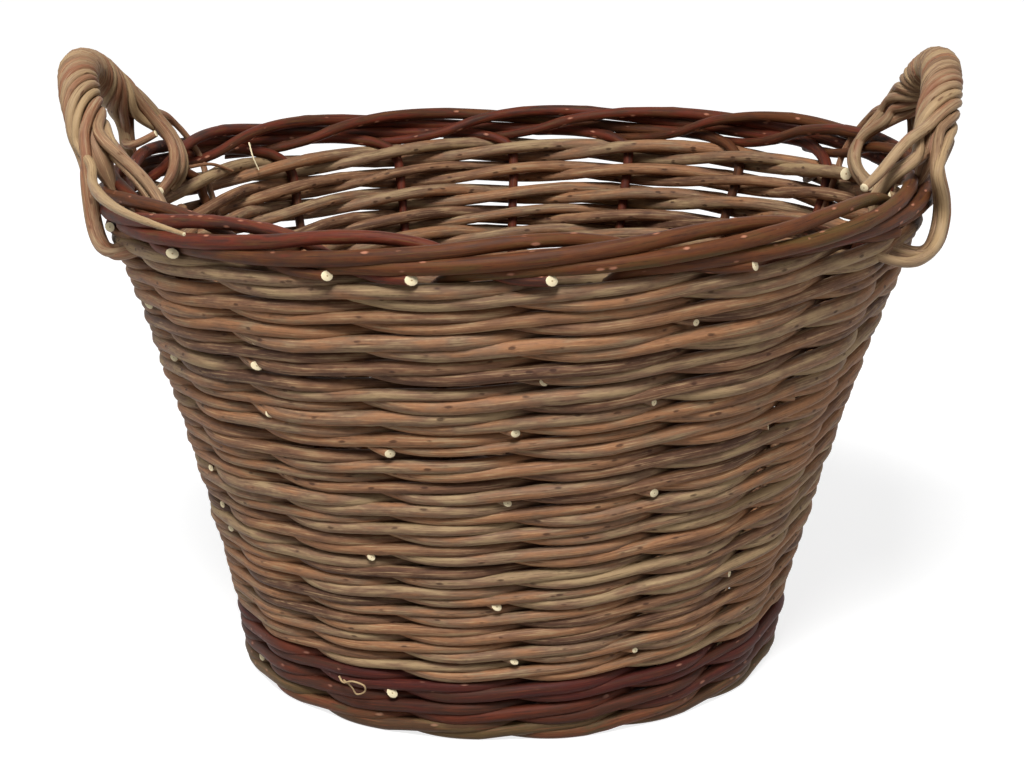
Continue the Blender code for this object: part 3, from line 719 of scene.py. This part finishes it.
def handle(side, centre):
    """The bow and the rods roped round it, at one side of the basket."""
    dice = random.Random(centre)
    forward = 1.0 if side == "left" else -1.0
    turns = (-1.0 + leg_share, 1.0 + leg_share)
    back = 0 if side == "left" else 1
    insets = [forward * back_foot_share if foot == back else 0.0 for foot in (0, 1)]
    top = rim_height + foot_above_rim
    legs = [place(centre + turn, 0.0, top) for turn in turns]
    feet = [place(centre + turn + inset, 0.0, top) for turn, inset in zip(turns, insets)]
    middle = (feet[0] + feet[1]) / 2.0
    outward = np.array([middle[0] - heart[0], middle[1] - heart[1], 0.0])
    outward /= np.linalg.norm(outward)
    rise = outward * handle_lean[side] + np.array([0.0, 0.0, handle_rise[side]])
    span = (feet[1] - feet[0]) / 2.0
    square = np.cross(rise, span)
    square /= np.linalg.norm(square)

    def arch(share):
        height = math.sin(math.pi * share)
        point = middle - span * math.cos(math.pi * share) * (1.0 - pinch * height) + rise * height
        point = point + (legs[0] - feet[0]) * max(0.0, 1.0 - share / splay_share) ** 2
        return point + (legs[1] - feet[1]) * max(0.0, 1.0 - (1.0 - share) / splay_share) ** 2

    stems = [[place(centre + turn, 0.0, height) for height in stem_heights] for turn in turns]
    bowed = [arch(share) for share in np.linspace(0.03, 0.97, 16)]
    line = supple(stems[0] + bowed + stems[1][::-1])
    to_back, to_front = (np.linalg.norm(line - feet[foot], axis=1) for foot in (back, 1 - back))
    thin_to = np.where(to_back < to_front, bow_swells_above["back"], bow_swells_above["front"])
    above = np.clip((line[:, 2] - rim_height - thin_to) / bow_swell_length, 0.0, 1.0)
    thick = bow_foot_thick + (bow_thick - bow_foot_thick) * above
    grow(f"{side}_bow_rod", [rod(line, thick, 0.4)], handle_bark, "handle_willow",
         f"{side}_handle_bow")

    peels = [peel["back" if foot == back else "front"] for foot in (0, 1)]
    wound = (bow_thick + rope_middle_thick) / 2.0
    for bundle in range(ROPE_BUNDLES):
        rods = []
        first_angle = 2.0 * math.pi * (bundle + 0.30) / ROPE_BUNDLES
        inside = math.cos(first_angle) > 0.0
        for seat in (-0.5, 0.5):
            knots = []
            for along in np.linspace(0.0, 1.0, 35):
                wind = along - tight_middle * math.sin(2.0 * math.pi * along) / (2.0 * math.pi)
                seated = first_angle + math.pi * seat / ROPE_BUNDLES
                angle = seated + 2.0 * math.pi * ROPE_TURNS * wind
                share = peels[0] + (1.0 - peels[0] - peels[1]) * along
                ahead = arch(share + 0.02) - arch(share - 0.02)
                over = np.cross(ahead / np.linalg.norm(ahead), square)
                off_bow = square * math.cos(angle) + over * math.sin(angle)
                knots.append(arch(share) + off_bow * wound)
            ends = []
            slender = [0.0, 0.0]
            for foot in (0, 1):
                later = (math.sin(first_angle) > 0.0) == (foot == 1)
                nearer = later == (side == "left")
                kind = "inside" if inside else "outside"
                if foot == back:
                    kind = "back " + ("curled" if inside and nearer else kind)
                    kind = "back loose" if not inside and nearer and seat > 0.0 else kind
                else:
                    loose = nearer and seat > 0.0 and inside == (side == "right")
                    kind = "front " + ("loose" if loose else kind)
                slim = kind == "front loose" and side == "left"
                slender[foot] = loose_tip_thinner if slim else 0.0
                spread = seat_spread * seat + (nearer_spread if nearer else farther_spread)
                spread += dice.uniform(-0.02, 0.02)
                if kind == "back curled":
                    spread = curled_spread * seat
                elif "loose" in kind:
                    spread = 0.0
                tail = []
                for number, (far, out, up) in enumerate(tails[side][kind]):
                    far += spread * (0.3 + 0.7 * number / 4.0)
                    step = centre + turns[foot] + forward * far
                    tail.append(place(step, out * (1.0 + seat_out * seat),
                                      rim_height + up + seat_up * seat))
                ends.append(tail)
            line = supple(ends[0][::-1] + knots + ends[1], spacing=0.0035)
            share = np.linspace(-1.0, 1.0, len(line))
            easing = 0.5 * np.clip((np.abs(share[1:-1, None]) - 0.50) / 0.12, 0.0, 1.0)
            for _ in range(easing_rounds):
                line[1:-1] += easing * ((line[:-2] + line[2:]) / 2.0 - line[1:-1])
            thicker = np.clip((np.abs(share) - 0.2) / 0.4, 0.0, 1.0)
            thick = rope_middle_thick + (rope_thick - rope_middle_thick) * thicker
            thick = thick * dice.uniform(*rope_variety)
            thick = thick * (1.0 - rope_tip_thinner * np.abs(share) ** 6)
            thick *= 1.0 - np.interp(share, [-1.0, -0.6, 0.6, 1.0],
                                     [slender[0], 0.0, 0.0, slender[1]])
            rods.append(rod(line, knuckled(line, thick, dice), dice.random()))
        grow(f"{side}_rope_{bundle + 1}_rods", rods, handle_bark, "handle_willow",
             f"{side}_handle_rope_{bundle + 1}", sides=10)


handle("left", 4)
handle("right", 13)


# The ground: a wide white table that only shows the basket's soft shadow. It glows, and a little
# less near the basket, where the lamps light it most.
WHITE = (1.0, 1.0, 1.0, 1.0)
ground_reach = 12.0
near_basket, far_from_basket = 0.5, 1.8
corners = [(x * ground_reach, y * ground_reach, 0.0)
           for x, y in ((-1, -1), (1, -1), (1, 1), (-1, 1))]


def rays_that_look(bench):
    """1 for the rays that look at what is round the basket, 0 for those that only light it."""
    rays = bench.node("ShaderNodeLightPath")
    looking = [rays.outputs[f"Is {ray} Ray"] for ray in ("Camera", "Glossy", "Transmission")]
    return sum(Reading(bench, socket) for socket in looking)


ground_mesh = bpy.data.meshes.new("ground")
ground_mesh.from_pydata(corners, [], [(0, 1, 2, 3)])
ground = bpy.data.objects.new("ground", ground_mesh)
bpy.context.collection.objects.link(ground)
white = bpy.data.materials.new("white ground")
white.use_nodes = True
white.node_tree.nodes.clear()
bench = Bench(white.node_tree)
paper = bench.node("ShaderNodeBsdfDiffuse", Color=(0.40, 0.40, 0.40, 1.0))
spot = bench.node("ShaderNodeTexCoord").outputs["Object"]
distance = bench.node("ShaderNodeVectorMath", {"operation": "LENGTH"}, n0=spot)
far_off = Reading(bench, distance.outputs["Value"]).eased(near_basket, far_from_basket)
near_glow = bench.node("ShaderNodeEmission", Color=WHITE, Strength=0.80)
far_glow = bench.node("ShaderNodeEmission", Color=WHITE, Strength=0.97)
glow = bench.node("ShaderNodeMixShader", Fac=far_off, n1=near_glow.outputs[0],
                  n2=far_glow.outputs[0])
both = bench.node("ShaderNodeAddShader", n0=paper.outputs[0], n1=glow.outputs[0])
mixed = bench.node("ShaderNodeMixShader", Fac=rays_that_look(bench), n1=paper.outputs[0],
                   n2=both.outputs[0])
bench.node("ShaderNodeOutputMaterial", Surface=mixed.outputs[0])
ground_mesh.materials.append(white)


# The light: a white room, with one strong soft lamp above the camera and a weaker one at each side.
world = bpy.data.worlds.new("white room")
bpy.context.scene.world = world
world.use_nodes = True
world.node_tree.nodes.clear()
bench = Bench(world.node_tree)
room = bench.node("ShaderNodeBackground", Color=WHITE, Strength=0.11)
backdrop = bench.node("ShaderNodeBackground", Color=WHITE, Strength=1.0)
shown = bench.node("ShaderNodeMixShader", Fac=rays_that_look(bench), n1=room.outputs[0],
                   n2=backdrop.outputs[0])
bench.node("ShaderNodeOutputWorld", Surface=shown.outputs[0])


lamps_aim = Vector((0.0, 0.0, 0.15))


def soft_lamp(name, where, size, power):
    """A square soft lamp that faces the middle of the basket."""
    data = bpy.data.lights.new(name, "AREA")
    data.shape = "SQUARE"
    data.size = size
    data.energy = power
    lamp = bpy.data.objects.new(name, data)
    bpy.context.collection.objects.link(lamp)
    lamp.location = where
    lamp.rotation_euler = (lamps_aim - Vector(where)).to_track_quat("-Z", "Y").to_euler()


soft_lamp("upper lamp", (-0.22, -1.38, 2.0), 0.7, 67.0)
soft_lamp("right lamp", (1.7, -1.0, 1.0), 0.6, 6.5)
soft_lamp("left lamp", (-1.9, -0.3, 0.8), 1.0, 6.0)


# The camera stands 1.2 m in front of the basket and half a metre up, and looks down at it.
photo_width = 1024.0  # pixels, as the next two are
focal_length = 1964.0
middle_off = -1.5
sensor_width = 36.0
pitch_down, roll = 15.62, -0.77

camera_data = bpy.data.cameras.new("camera")
camera_data.sensor_width = sensor_width
camera_data.lens = focal_length / photo_width * sensor_width
camera_data.shift_x = middle_off / photo_width
camera = bpy.data.objects.new("camera", camera_data)
bpy.context.collection.objects.link(camera)
camera.location = (0.0, -1.192, 0.492)
camera.rotation_mode = "QUATERNION"
camera.rotation_quaternion = (Quaternion((1.0, 0.0, 0.0), math.radians(90.0 - pitch_down))
                              @ Quaternion((0.0, 0.0, 1.0), math.radians(roll)))
bpy.context.scene.camera = camera
bpy.context.scene.view_settings.view_transform = "Standard"
